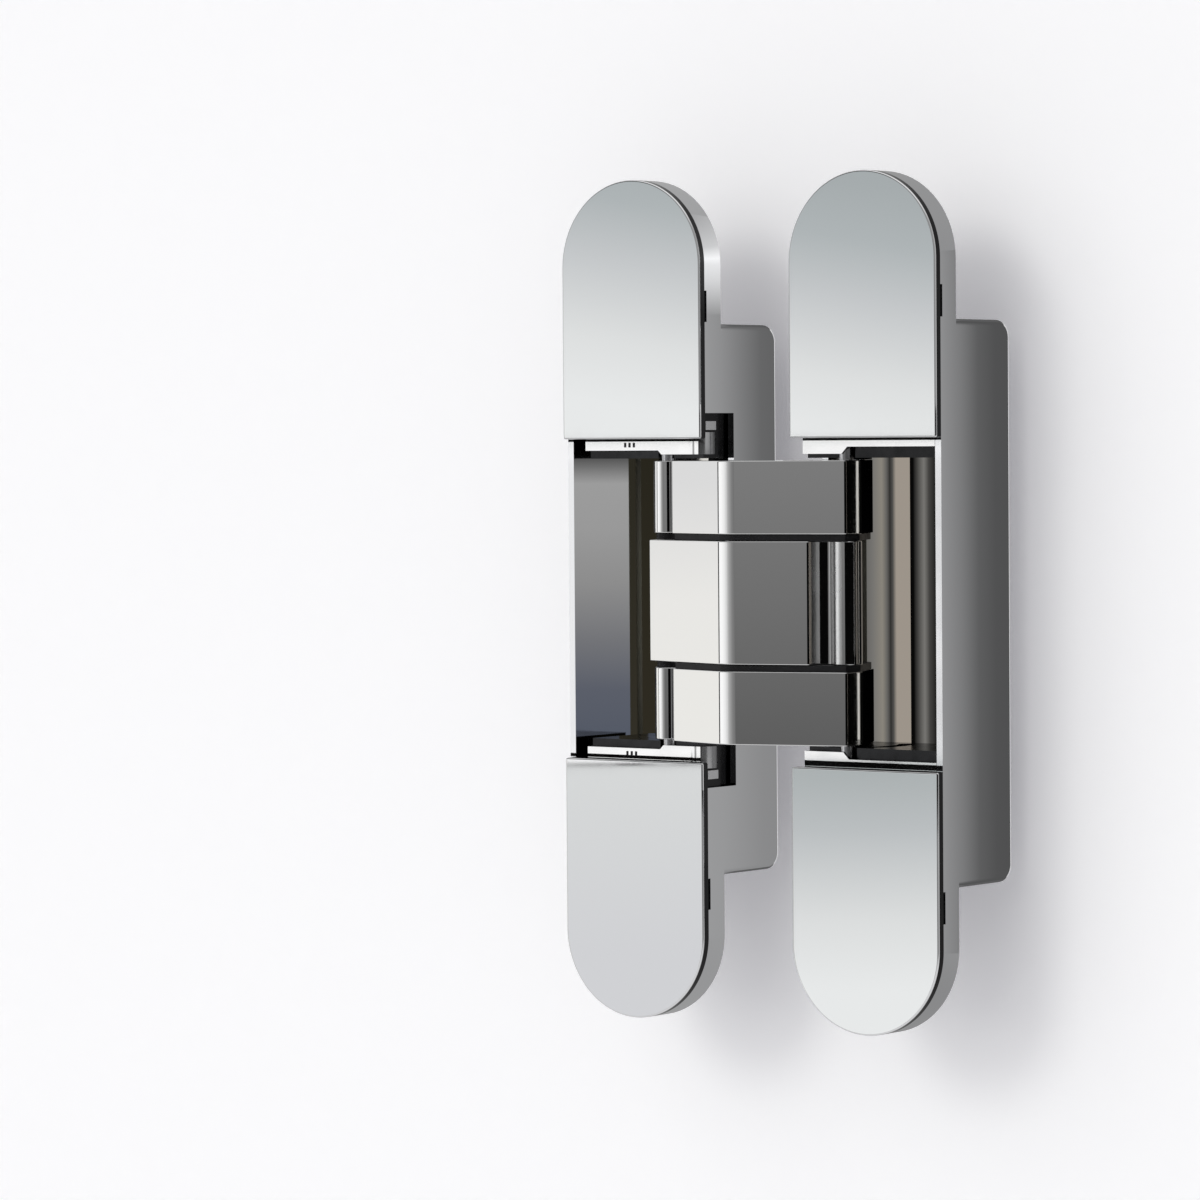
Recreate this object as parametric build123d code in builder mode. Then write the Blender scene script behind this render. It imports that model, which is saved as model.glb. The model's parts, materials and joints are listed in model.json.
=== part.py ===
"""Concealed door hinge, shown open flat, with two leaves and a crossed pair of arms.

X runs across the two leaves, Y runs from the cover faces into the door edge, Z is up.
The origin lies midway between the leaves, in the plane of the cover faces.
"across" is measured from the plane midway between the leaves, "depth" along Y.
"""
import os
from math import acos, asin, atan2, cos, degrees, hypot, radians, sin, tan

from build123d import *

# Leaf plate and body, millimetres
plate_width = 30.0
plate_height = 146.0
leaf_gap = 18.8
cover_thickness = 1.5
flange_thickness = 4.7
body_height = 95.6
body_depth = 23.0
side_wall = 1.2
end_wall = 2.2
back_wall = 2.8
back_corner_radius = 3.0
floor_radius = 0.8
body_edge_radius = 1.2
flange_overlap = 2.0

# Notch through the wall that faces the other leaf
notch_half_height = 32.4
notch_depth = 9.8

# Screw holes under the covers
screw_row_spacing = 13.0
screw_row_offset = 10.2
screw_hole_diameter = 4.6
screw_head_diameter = 9.2
screw_head_angle = 90.0

# Snap covers
cover_start = 28.0
cover_edge_chamfer = 0.3
clip_across = 18.0
clip_offset = 3.0
clip_length = 5.0
clip_thickness = 1.4
clip_reach = 3.6
clip_clearance = 0.2
pry_notch_length = 5.4
pry_notch_depth = 0.6
pry_notch_inset = 0.9

# Linkage in the open pose
pivot_across = 14.2
pivot_depth = 13.2
centre_rise = 3.4
slide_across = 18.8
slide_depth = 3.4
closed_gap = 4.0

# Arm section
roof_rise = 6.1
roof_angle = 17.0
roof_radius = 4.0
long_roof_reach = 20.8
short_roof_reach = 14.3
eye_radius = 2.7
barrel_radius = 2.6
eye_wall = 2.6
slot_wall = 1.0
flank_drop = 1.0
hook_clearance = 2.4
web_arch = 1.0
neck_thickness = 3.6
nose_radius = 0.5
flank_radius = 3.0
hook_radius = 1.5
web_radius = 4.0
valley_radius = 0.8
arm_edge_chamfer = 0.3

# Arm heights
middle_arm_height = 21.0
outer_arm_height = 12.5
arm_gap = 1.2
carrier_gap = 0.4
slide_plate_inset = 0.4

# Pins, with running and fixed fits
pivot_pin_radius = 1.7
centre_pin_radius = 1.5
slide_pin_radius = 1.2
pin_chamfer = 0.25
running_fit = 0.04
fixed_fit = 0.01
slide_fit = 0.15
slot_fit = 0.25
pivot_pin_reach = 36.0
slide_pin_entry = 5.8
slide_slot_depth = 6.2
washer_rim = 0.9
washer_end_play = 0.05

# Carriers that hold the pivots inside each leaf
carrier_front_gap = 0.2
carrier_back_gap = 0.2
carrier_end_gap = 0.3
strip_thickness = 1.5
strip_lift = 0.7
boss_strip_width = 8.0
left_near_gap = 0.1
left_far_gap = 0.5
left_strip_step = 0.7
right_near_gap = 0.4
right_far_gap = 0.2
right_strip_step = 1.2
carrier_edge_radius = 1.0

# Stop post and key block on the left carriers, seen in the notch
post_radius = 2.6
post_protrusion = 1.2
post_depth = 4.2
post_height = 3.8
post_groove = 0.4
key_depth = 3.0
key_height = 1.5
key_protrusion = 0.9

# Clamp screws that lock the carriers
clamp_side_inset = 10.2
clamp_inset = 7.2
clamp_head_sink = 0.5
clamp_head_diameter = 8.0
clamp_head_height = 2.8
clamp_shank_diameter = 4.0
clamp_entry = 1.9
clamp_socket = 3.0
clamp_socket_depth = 1.6
clamp_fit = 0.3
clamp_seat_gap = 0.05
side_travel_in = 0.4
side_travel_out = 2.0
height_travel = 1.5

# Sizes worked out from the ones above
leaf_inner = leaf_gap / 2
leaf_centre = leaf_inner + plate_width / 2
flange_back = cover_thickness + flange_thickness
pocket_near = leaf_inner + side_wall
pocket_far = leaf_inner + plate_width - side_wall
pocket_floor = body_depth - back_wall
pocket_height = body_height - 2 * end_wall
screw_row_height = body_height + 2 * screw_row_offset
clip_height = body_height / 2 + clip_offset
carrier_front = cover_thickness + carrier_front_gap
carrier_back = pocket_floor - carrier_back_gap
carrier_top = pocket_height / 2 - height_travel - carrier_end_gap
left_carrier_near = pocket_near + side_travel_in + left_near_gap
left_carrier_far = pocket_far - side_travel_out - left_far_gap
right_carrier_near = pocket_near + right_near_gap
right_carrier_far = pocket_far - right_far_gap
clamp_across = pocket_far - clamp_side_inset
clamp_height = carrier_top - clamp_inset
middle_arm_top = middle_arm_height / 2
outer_arm_bottom = middle_arm_top + arm_gap
outer_arm_top = outer_arm_bottom + outer_arm_height
carrier_bottom = outer_arm_top + carrier_gap
strip_bottom = carrier_bottom + strip_lift
slide_pin_top = carrier_bottom + slide_pin_entry
roof_slope = tan(radians(roof_angle))

# Linkage triangle: pivot to centre pin, and centre pin to slide pin
pivot_link = hypot(pivot_across, pivot_depth + centre_rise)
pivot_link_angle = degrees(atan2(pivot_depth + centre_rise, -pivot_across))
slide_link = hypot(slide_across, slide_depth + centre_rise)
slide_link_angle = -degrees(atan2(slide_depth + centre_rise, slide_across))
closed_link_angle = degrees(asin((closed_gap / 2 + pivot_depth) / pivot_link))
arm_turn = pivot_link_angle - closed_link_angle

os.makedirs("parts", exist_ok=True)


def finish(builder, name):
    """Label a finished piece and write its file."""
    builder.part.label = name
    export_step(builder.part, f"parts/{name}.step")


def slide_point(closing):
    """Place of the slide pin in the leaf, from open (0) to closed (1), as across and depth."""
    link = radians(pivot_link_angle - arm_turn * closing)
    crossing = radians(slide_link_angle - (180 - arm_turn) * closing)
    across = pivot_across + pivot_link * cos(link) + slide_link * cos(crossing)
    depth = pivot_depth - pivot_link * sin(link) - slide_link * sin(crossing)
    return across, depth


def slide_point_on_arm(closing):
    """Place of the same pin on the arm that pivots in this leaf, in the arm's open pose."""
    across, depth = slide_point(closing)
    turn = radians(arm_turn * closing)
    right = across - pivot_across
    front = pivot_depth - depth
    return (
        pivot_across + right * cos(turn) - front * sin(turn),
        pivot_depth - right * sin(turn) - front * cos(turn),
    )


def roof_depth(across):
    """Depth of the roof-shaped arm front at a distance from the middle plane."""
    return -roof_rise + abs(across) * roof_slope


def tangent_point(start, centre, radius, turn):
    """Point where a line from start touches a circle; turn is 1 or -1 and picks the side."""
    reach = hypot(centre[0] - start[0], centre[1] - start[1])
    heading = atan2(start[1] - centre[1], start[0] - centre[0]) + turn * acos(radius / reach)
    return centre[0] + radius * cos(heading), centre[1] + radius * sin(heading)


def front_plane(depth):
    """Plane parallel to the cover faces, at a depth; sketches on it use across and height."""
    return Plane.XZ.offset(-depth)


# Leaf housings
with BuildPart() as right_housing:
    with BuildSketch(front_plane(flange_back - flange_overlap)):
        with Locations((leaf_centre, 0)):
            Rectangle(plate_width, body_height)
    extrude(amount=flange_back - flange_overlap - body_depth)
    fillet(right_housing.faces().sort_by(Axis.Y)[-1].edges().filter_by(Axis.X), back_corner_radius)
    side_faces = right_housing.faces().filter_by(Axis.X)
    fillet(side_faces.edges() - right_housing.faces().sort_by(Axis.Y)[0].edges(), body_edge_radius)
    with BuildSketch(front_plane(cover_thickness)):
        with Locations((leaf_centre, 0)):
            SlotOverall(plate_height, plate_width, rotation=90)
    extrude(amount=-flange_thickness)
    with BuildSketch(front_plane(cover_thickness)):
        with Locations((leaf_centre, 0)):
            Rectangle(plate_width - 2 * side_wall, pocket_height)
    extrude(amount=cover_thickness - pocket_floor, mode=Mode.SUBTRACT)
    floor_edges = right_housing.edges().filter_by(Axis.Z).filter_by_position(
        Axis.Y, pocket_floor, pocket_floor
    )
    fillet(floor_edges, floor_radius)
    with BuildSketch(front_plane(cover_thickness)):
        with Locations((leaf_inner + side_wall / 2, 0)):
            Rectangle(2 * side_wall, 2 * notch_half_height)
    extrude(amount=cover_thickness - notch_depth, mode=Mode.SUBTRACT)
    with Locations(front_plane(cover_thickness)):
        with Locations((leaf_centre, 0)):
            with GridLocations(screw_row_spacing, screw_row_height, 2, 2):
                CounterSinkHole(
                    screw_hole_diameter / 2,
                    screw_head_diameter / 2,
                    counter_sink_angle=screw_head_angle,
                )
    with BuildSketch(front_plane(cover_thickness)):
        with Locations((leaf_centre, 0)):
            with GridLocations(clip_across, 2 * clip_height, 2, 2):
                Rectangle(clip_thickness + 2 * clip_clearance, clip_length + 2 * clip_clearance)
    extrude(amount=-flange_thickness, mode=Mode.SUBTRACT)
    with BuildSketch(front_plane(cover_thickness)):
        with Locations((leaf_centre, 0)):
            with GridLocations(plate_width, 2 * clip_height, 2, 2):
                Rectangle(2 * pry_notch_inset, pry_notch_length)
    extrude(amount=-pry_notch_depth, mode=Mode.SUBTRACT)
    with BuildSketch(front_plane(pocket_floor)):
        with Locations((clamp_across, clamp_height), (clamp_across, -clamp_height)):
            Circle(clamp_shank_diameter / 2 + fixed_fit)
    extrude(amount=-(clamp_entry + fixed_fit), mode=Mode.SUBTRACT)
finish(right_housing, "right_housing")

with BuildPart() as left_housing:
    add(right_housing.part)
    mirror(about=Plane.YZ, mode=Mode.REPLACE)
finish(left_housing, "left_housing")

# Snap covers over the screw heads
with BuildPart() as right_upper_cover:
    with BuildSketch(front_plane(cover_thickness)):
        with Locations((leaf_centre, 0)):
            SlotOverall(plate_height, plate_width, rotation=90)
        with Locations((leaf_centre, cover_start)):
            Rectangle(plate_width, plate_height, align=(Align.CENTER, Align.MAX), mode=Mode.SUBTRACT)
    extrude(amount=cover_thickness)
    chamfer(right_upper_cover.faces().sort_by(Axis.Y)[0].edges(), cover_edge_chamfer)
    with BuildSketch(front_plane(cover_thickness)):
        with Locations((leaf_centre, clip_height)):
            with GridLocations(clip_across, 0, 2, 1):
                Rectangle(clip_thickness, clip_length)
    extrude(amount=-clip_reach)
finish(right_upper_cover, "right_upper_cover")

with BuildPart() as right_lower_cover:
    add(right_upper_cover.part)
    mirror(about=Plane.XY, mode=Mode.REPLACE)
finish(right_lower_cover, "right_lower_cover")

with BuildPart() as left_upper_cover:
    add(right_upper_cover.part)
    mirror(about=Plane.YZ, mode=Mode.REPLACE)
finish(left_upper_cover, "left_upper_cover")

with BuildPart() as left_lower_cover:
    add(right_lower_cover.part)
    mirror(about=Plane.YZ, mode=Mode.REPLACE)
finish(left_lower_cover, "left_lower_cover")


# Pivot carriers
def carrier_block(near, far, strip_step, travel_across, travel_height):
    """Carrier with its front strip, pivot hole, curved guide slot and clamp slot, upper right version.

    travel_across is a pair of distances by which the carrier moves inwards and outwards.
    """
    inwards, outwards = travel_across
    clamp_centre = (clamp_across + (inwards - outwards) / 2, clamp_height)
    clamp_wide = inwards + outwards + 2 * clamp_fit
    clamp_tall = 2 * travel_height + 2 * clamp_fit
    strip_back = carrier_front + strip_thickness
    seat_depth = carrier_front + clamp_head_sink + clamp_head_height + clamp_seat_gap
    with BuildPart() as block:
        with BuildSketch(Plane.XY.offset(carrier_bottom)):
            with Locations((near, strip_back)):
                Rectangle(far - near, carrier_back - strip_back, align=(Align.MIN, Align.MIN))
        extrude(amount=carrier_top - carrier_bottom)
        fillet(block.edges().filter_by(Axis.Z).group_by(Axis.Y)[-1], carrier_edge_radius)
        with BuildSketch(front_plane(carrier_front)):
            with BuildLine():
                Polyline(
                    (near, strip_bottom),
                    (near + boss_strip_width, strip_bottom),
                    (near + boss_strip_width + strip_step, strip_bottom + strip_step),
                    (far, strip_bottom + strip_step),
                    (far, carrier_top),
                    (near, carrier_top),
                    close=True,
                )
            make_face()
        extrude(amount=-strip_thickness)
        with BuildSketch(Plane.XY.offset(carrier_bottom)):
            with Locations((pivot_across, pivot_depth)):
                Circle(pivot_pin_radius + fixed_fit)
        extrude(amount=pivot_pin_reach - carrier_bottom + fixed_fit, mode=Mode.SUBTRACT)
        guide = ThreePointArc(slide_point(0), slide_point(0.5), slide_point(1))
        with BuildSketch(Plane.XY.offset(carrier_bottom)):
            SlotArc(guide, 2 * (slide_pin_radius + slide_fit))
        extrude(amount=slide_slot_depth, mode=Mode.SUBTRACT)
        with BuildSketch(front_plane(carrier_front)):
            with Locations(clamp_centre):
                RectangleRounded(
                    clamp_head_diameter + clamp_wide,
                    clamp_head_diameter + clamp_tall,
                    clamp_head_diameter / 2 + clamp_fit - fixed_fit,
                )
        extrude(amount=carrier_front - seat_depth, mode=Mode.SUBTRACT)
        with BuildSketch(front_plane(seat_depth)):
            with Locations(clamp_centre):
                RectangleRounded(
                    clamp_shank_diameter + clamp_wide,
                    clamp_shank_diameter + clamp_tall,
                    clamp_shank_diameter / 2 + clamp_fit - fixed_fit,
                )
        extrude(amount=seat_depth - carrier_back, mode=Mode.SUBTRACT)
    return block.part


right_block = carrier_block(
    right_carrier_near, right_carrier_far, right_strip_step, (0, 0), height_travel
)
left_block = carrier_block(
    left_carrier_near, left_carrier_far, left_strip_step, (side_travel_in, side_travel_out), 0
)

with BuildPart() as right_upper_carrier:
    add(right_block)
finish(right_upper_carrier, "right_upper_carrier")

with BuildPart() as right_lower_carrier:
    add(right_block)
    mirror(about=Plane.XY, mode=Mode.REPLACE)
finish(right_lower_carrier, "right_lower_carrier")

with BuildPart() as left_upper_carrier:
    add(left_block)
    with BuildSketch(Plane.XY.offset(strip_bottom)):
        with Locations((left_carrier_near - post_protrusion + post_radius, post_depth)):
            Circle(post_radius)
    extrude(amount=post_height)
    with BuildSketch(Plane.XY.offset(strip_bottom + post_height + post_groove)):
        with Locations((left_carrier_near - key_protrusion, post_depth)):
            Rectangle(2 * key_protrusion, key_depth, align=(Align.MIN, Align.CENTER))
    extrude(amount=key_height)
    mirror(about=Plane.YZ, mode=Mode.REPLACE)
finish(left_upper_carrier, "left_upper_carrier")

with BuildPart() as left_lower_carrier:
    add(left_upper_carrier.part)
    mirror(about=Plane.XY, mode=Mode.REPLACE)
finish(left_lower_carrier, "left_lower_carrier")


# Crossed arms
def arm_section():
    """Outline of an arm, with its pivot eye in the right leaf and its slide barrel in the left."""
    apex = (0, roof_depth(0))
    nose = (long_roof_reach, roof_depth(long_roof_reach))
    flank = (slide_across + slide_pin_radius + slot_fit + slot_wall, slide_depth + flank_drop)
    eye = (pivot_across, pivot_depth)
    eye_right = tangent_point(flank, eye, eye_radius, 1)
    eye_left = (pivot_across - eye_radius, pivot_depth)
    hook = (pivot_across - eye_radius, notch_depth - hook_clearance)
    under_centre = (0, eye_wall - centre_rise)
    web = (hook[0] / 2, (hook[1] + under_centre[1]) / 2 - web_arch)
    neck = (-short_roof_reach, roof_depth(short_roof_reach) + eye_wall + neck_thickness)
    barrel = (-slide_across, slide_depth)
    barrel_back = tangent_point(neck, barrel, barrel_radius, 1)
    valley = (-short_roof_reach - valley_radius, roof_depth(short_roof_reach) + eye_wall)
    short_end = (-short_roof_reach, roof_depth(short_roof_reach))
    with BuildSketch() as section:
        with BuildLine():
            Polyline(
                apex, nose, flank, eye_right, eye, eye_left, hook, web, under_centre,
                neck, barrel_back, barrel, valley, short_end, close=True,
            )
        make_face()
        with Locations(eye):
            Circle(eye_radius)
        with Locations(barrel):
            Circle(barrel_radius)
        barrel_front = tangent_point(valley, barrel, barrel_radius, -1)
        rounded = (
            (apex, roof_radius), (nose, nose_radius), (flank, flank_radius),
            (hook, hook_radius), (web, web_radius), (under_centre, web_radius),
            (neck, web_radius), (barrel_front, valley_radius), (valley, valley_radius),
            (short_end, nose_radius),
        )
        for corner, radius in rounded:
            fillet(section.vertices().sort_by_distance(corner)[0], radius)
    return section.sketch


def arm_blank(bottom, height):
    """Arm without bores, with its end edges broken."""
    with BuildPart() as blank:
        with BuildSketch(Plane.XY.offset(bottom)):
            add(outer_arm_section)
        extrude(amount=height)
        chamfer(blank.faces().filter_by(Axis.Z).edges(), arm_edge_chamfer)
    return blank.part


def pin_slot():
    """Straight slot of an outer arm, in which the other arm's slide pin runs."""
    slot_start = slide_point_on_arm(0)
    slot_end = slide_point_on_arm(1)
    slot_run = (slot_end[0] - slot_start[0], slot_end[1] - slot_start[1])
    slot_middle = (slot_start[0] + slot_run[0] / 2, slot_start[1] + slot_run[1] / 2)
    with BuildSketch() as slot:
        with Locations(slot_middle):
            SlotCenterToCenter(
                hypot(*slot_run),
                2 * (slide_pin_radius + slot_fit),
                rotation=degrees(atan2(slot_run[1], slot_run[0])),
            )
    return slot.sketch


outer_arm_section = arm_section()
outer_arm_slot = pin_slot()

with BuildPart() as upper_arm:
    add(arm_blank(outer_arm_bottom, outer_arm_height))
    with Locations((pivot_across, pivot_depth, outer_arm_top)):
        Hole(pivot_pin_radius + running_fit)
    with Locations((0, -centre_rise, outer_arm_top)):
        Hole(centre_pin_radius + fixed_fit)
    with Locations((-slide_across, slide_depth, outer_arm_top)):
        Hole(slide_pin_radius + fixed_fit)
    with BuildSketch(Plane.XY.offset(outer_arm_bottom)):
        add(outer_arm_slot)
    extrude(amount=outer_arm_height, mode=Mode.SUBTRACT)
finish(upper_arm, "upper_arm")

with BuildPart() as lower_arm:
    add(upper_arm.part)
    mirror(about=Plane.XY, mode=Mode.REPLACE)
finish(lower_arm, "lower_arm")

with BuildPart() as middle_arm:
    add(arm_blank(-middle_arm_top, middle_arm_height))
    with Locations((pivot_across, pivot_depth, middle_arm_top)):
        Hole(pivot_pin_radius + running_fit)
    with Locations((0, -centre_rise, middle_arm_top)):
        Hole(centre_pin_radius + running_fit)
    with Locations((-slide_across, slide_depth, middle_arm_top)):
        Hole(slide_pin_radius + fixed_fit)
    mirror(about=Plane.YZ, mode=Mode.REPLACE)
finish(middle_arm, "middle_arm")


# Sliding plates in the gaps between the arms, carried by the outer arms
with BuildPart() as upper_slide_plate:
    with BuildSketch(Plane.XY.offset(middle_arm_top + washer_end_play)):
        add(outer_arm_section)
        offset(amount=-slide_plate_inset, mode=Mode.REPLACE)
        with Locations((0, -centre_rise)):
            Circle(centre_pin_radius + fixed_fit, mode=Mode.SUBTRACT)
        add(outer_arm_slot, mode=Mode.SUBTRACT)
    extrude(amount=arm_gap - washer_end_play)
finish(upper_slide_plate, "upper_slide_plate")

with BuildPart() as lower_slide_plate:
    add(upper_slide_plate.part)
    mirror(about=Plane.XY, mode=Mode.REPLACE)
finish(lower_slide_plate, "lower_slide_plate")


# Pins, washers and spacers
def build_pin(name, across, depth, radius, bottom, top):
    """Round pin along the height, with chamfered ends."""
    with BuildPart() as pin:
        with BuildSketch(Plane.XY.offset(bottom)):
            with Locations((across, depth)):
                Circle(radius)
        extrude(amount=top - bottom)
        chamfer(pin.edges().filter_by(GeomType.CIRCLE), pin_chamfer)
    finish(pin, name)


def build_ring(name, across, depth, inner_radius, outer_radius, bottom, top):
    """Washer or spacer round a pin, with a little end play."""
    with BuildPart() as ring:
        with BuildSketch(Plane.XY.offset(bottom + washer_end_play)):
            with Locations((across, depth)):
                Circle(outer_radius)
                Circle(inner_radius, mode=Mode.SUBTRACT)
        extrude(amount=top - bottom - 2 * washer_end_play)
    finish(ring, name)


centre_pin_top = outer_arm_top - arm_edge_chamfer
outer_pin_bottom = outer_arm_bottom + arm_edge_chamfer
build_pin("left_pivot_pin", -pivot_across, pivot_depth, pivot_pin_radius, -pivot_pin_reach, pivot_pin_reach)
build_pin("centre_pin", 0, -centre_rise, centre_pin_radius, -centre_pin_top, centre_pin_top)
build_pin("middle_slide_pin", slide_across, slide_depth, slide_pin_radius, -slide_pin_top, slide_pin_top)
for end, sign in (("upper", 1), ("lower", -1)):
    pivot_ends = sorted((sign * outer_pin_bottom, sign * pivot_pin_reach))
    slide_ends = sorted((sign * outer_pin_bottom, sign * slide_pin_top))
    pivot_washer_ends = sorted((sign * outer_arm_top, sign * carrier_bottom))
    spacer_ends = sorted((sign * middle_arm_top, sign * carrier_bottom))
    pivot_bore = pivot_pin_radius + running_fit
    pivot_rim = pivot_pin_radius + washer_rim
    build_pin(f"right_{end}_pivot_pin", pivot_across, pivot_depth, pivot_pin_radius, *pivot_ends)
    build_pin(f"{end}_slide_pin", -slide_across, slide_depth, slide_pin_radius, *slide_ends)
    build_ring(
        f"right_{end}_pivot_washer", pivot_across, pivot_depth, pivot_bore, pivot_rim, *pivot_washer_ends
    )
    build_ring(
        f"left_{end}_pivot_spacer", -pivot_across, pivot_depth, pivot_bore, pivot_rim, *spacer_ends
    )

# Clamp screws that hold the carriers to the housing floors
head_top = carrier_front + clamp_head_sink
head_bottom = head_top + clamp_head_height
for side, side_sign in (("right", 1), ("left", -1)):
    for end, end_sign in (("upper", 1), ("lower", -1)):
        place = (side_sign * clamp_across, end_sign * clamp_height)
        with BuildPart() as clamp_screw:
            with BuildSketch(front_plane(head_top)):
                with Locations(place):
                    Circle(clamp_head_diameter / 2)
            extrude(amount=-clamp_head_height)
            with BuildSketch(front_plane(head_bottom)):
                with Locations(place):
                    Circle(clamp_shank_diameter / 2)
            extrude(amount=head_bottom - pocket_floor - clamp_entry)
            with BuildSketch(front_plane(head_top)):
                with Locations(place):
                    RegularPolygon(clamp_socket / 2, 6, major_radius=False)
            extrude(amount=-clamp_socket_depth, mode=Mode.SUBTRACT)
        finish(clamp_screw, f"{side}_{end}_clamp_screw")
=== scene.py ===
"""Concealed door hinge in mirror chrome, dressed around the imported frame.

X runs across the two leaves, Y runs from the cover faces into the door edge and Z is up. Shapes are
worked out in millimetres and written to the meshes in metres.
"""
import json
import logging
import math
from dataclasses import dataclass
from enum import Enum
from functools import partial

import bmesh
import bpy
import numpy as np
from mathutils import Matrix, Vector
from mathutils.geometry import tessellate_polygon


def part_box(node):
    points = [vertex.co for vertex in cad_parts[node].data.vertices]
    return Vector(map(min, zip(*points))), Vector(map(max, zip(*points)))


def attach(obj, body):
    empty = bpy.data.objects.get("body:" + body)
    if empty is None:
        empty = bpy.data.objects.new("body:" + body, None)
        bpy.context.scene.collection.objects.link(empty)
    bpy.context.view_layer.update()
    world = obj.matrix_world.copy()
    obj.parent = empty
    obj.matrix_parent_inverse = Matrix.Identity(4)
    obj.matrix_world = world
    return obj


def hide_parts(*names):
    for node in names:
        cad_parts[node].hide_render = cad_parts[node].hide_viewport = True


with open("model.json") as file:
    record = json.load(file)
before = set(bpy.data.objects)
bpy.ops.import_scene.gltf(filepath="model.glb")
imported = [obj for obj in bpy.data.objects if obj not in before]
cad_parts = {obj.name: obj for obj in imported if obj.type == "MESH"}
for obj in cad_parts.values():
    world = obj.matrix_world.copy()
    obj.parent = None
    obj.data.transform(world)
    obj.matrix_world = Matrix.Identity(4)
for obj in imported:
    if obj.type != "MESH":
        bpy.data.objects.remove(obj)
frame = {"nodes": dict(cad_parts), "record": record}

Array = np.ndarray
Pair = tuple[float, float]
Triple = tuple[float, float, float]
Piece = bpy.types.Object
Material = bpy.types.Material
Paints = dict[str, Material]
Socket = bpy.types.NodeSocket

MM = 0.001
ACROSS, DEPTH, UP = np.eye(3)
SAME_POINT = 1e-3
SAME_VERTEX = 1e-6
NO_AREA = 1e-12
CIRCLE_STEPS = 64
RIM_STEPS = 5
FLAT_TURN = math.radians(0.5)
CREASE = math.radians(30.0)
LOG = logging.getLogger("hinge")


class Basis(Enum):
    """How a shape's own across, along and rise directions lie in the frame, one row each."""

    UPRIGHT = ((1, 0, 0), (0, 1, 0), (0, 0, 1))
    FACING = ((1, 0, 0), (0, 0, 1), (0, -1, 0))


class Spelt(Enum):
    """Choice that the names of nodes spell in small letters."""

    @property
    def word(self) -> str:
        """Name as the nodes spell it."""
        return self.name.lower()


class Side(Spelt):
    """Leaf of the hinge, with the sign of its X."""

    LEFT = -1
    RIGHT = 1


class End(Spelt):
    """Upper or lower end, with the sign of its Z."""

    UPPER = 1
    LOWER = -1


def grey(level: float) -> float:
    """Linear light of a display grey from 0 to 255, by the sRGB curve."""
    share = level / 255
    return share / 12.92 if share <= 0.04045 else ((share + 0.055) / 1.055) ** 2.4


def body_of(node: str) -> str:
    """Name of the body that a node rides on."""
    bodies = frame["record"]["behaviour"]["bodies"]
    return next(name for name, nodes in bodies.items() if node in nodes)


def link(name: str, data: bpy.types.ID) -> Piece:
    """Makes an object at the origin and links it to the scene."""
    made = bpy.data.objects.new(name, data)
    bpy.context.scene.collection.objects.link(made)
    return made


@dataclass
class Loop:
    """Closed outline that runs anticlockwise, with the outward normal at each point."""

    points: Array
    normals: Array

    @classmethod
    def rounded(cls, corners: Array, radii: Array, steps: int) -> "Loop":
        """Rounds every corner of a polygon by an arc.

        The arc starts at the corner less the radius times the tangent of half the turn. Its centre
        lies a radius to the inside of the turn, and its points are the outward normal turned by
        equal shares of the corner's angle. Where one arc ends at the start of the next, their
        common point is kept once.

        Args:
            corners: corner points, one row each.
            radii: radius of each corner.
            steps: arc divisions at each corner.

        Returns:
            The rounded outline.
        """
        corners, radii = np.asarray(corners, float), np.asarray(radii, float)
        before = corners - np.roll(corners, 1, axis=0)
        before /= np.linalg.norm(before, axis=1, keepdims=True)
        after = np.roll(before, -1, axis=0)
        cross = before[:, 0] * after[:, 1] - before[:, 1] * after[:, 0]
        turn = np.arctan2(cross, (before * after).sum(1))
        reach = radii * np.sign(turn)
        outward = np.stack((before[:, 1], -before[:, 0]), axis=1)
        setback = radii * np.tan(np.abs(turn) / 2)
        centre = corners - before * setback[:, None] - outward * reach[:, None]
        angle = turn[:, None] * np.linspace(0, 1, steps + 1)
        cos, sin = np.cos(angle), np.sin(angle)
        across = outward[:, :1] * cos - outward[:, 1:] * sin
        along = outward[:, :1] * sin + outward[:, 1:] * cos
        normals = np.stack((across, along), axis=2)
        points = (centre[:, None] + normals * reach[:, None, None]).reshape(-1, 2)
        apart = np.linalg.norm(points - np.roll(points, 1, axis=0), axis=1) > SAME_POINT
        return cls(points[apart], normals.reshape(-1, 2)[apart])

    @classmethod
    def circle(cls, centre: Pair, radius: float) -> "Loop":
        """Circle as the centre plus the radius times equal turns of a unit vector."""
        angle = np.linspace(0, 2 * np.pi, CIRCLE_STEPS, endpoint=False)
        normals = np.stack((np.cos(angle), np.sin(angle)), axis=1)
        return cls(np.asarray(centre) + radius * normals, normals)

    @classmethod
    def box(cls, centre: Pair, half: Pair, radius: float, steps: int) -> "Loop":
        """Rectangle with rounded corners, from its middle and its half sides."""
        signs = np.array(((-1, -1), (1, -1), (1, 1), (-1, 1)))
        return cls.rounded(np.asarray(centre) + signs * half, np.full(4, radius), steps)

    def mirrored(self, axis: int) -> "Loop":
        """The same outline with one coordinate mirrored, still anticlockwise."""
        mirror = np.where(np.arange(2) == axis, -1.0, 1.0)
        return Loop((self.points * mirror)[::-1], (self.normals * mirror)[::-1])


def arc_corners(centre: Pair, radius: float, start: float, end: float, count: int) -> Array:
    """Corners of tangent lines round an arc, so that rounding them by the radius gives it back.

    The arc from start to end, in radians, is cut into a count of equal parts, and each corner lies
    at a part's middle angle, at the radius over the cosine of half the part.
    """
    part = (end - start) / count
    middle = start + part * (np.arange(count) + 0.5)
    reach = radius / math.cos(part / 2)
    return np.asarray(centre) + reach * np.stack((np.cos(middle), np.sin(middle)), axis=1)


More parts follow.
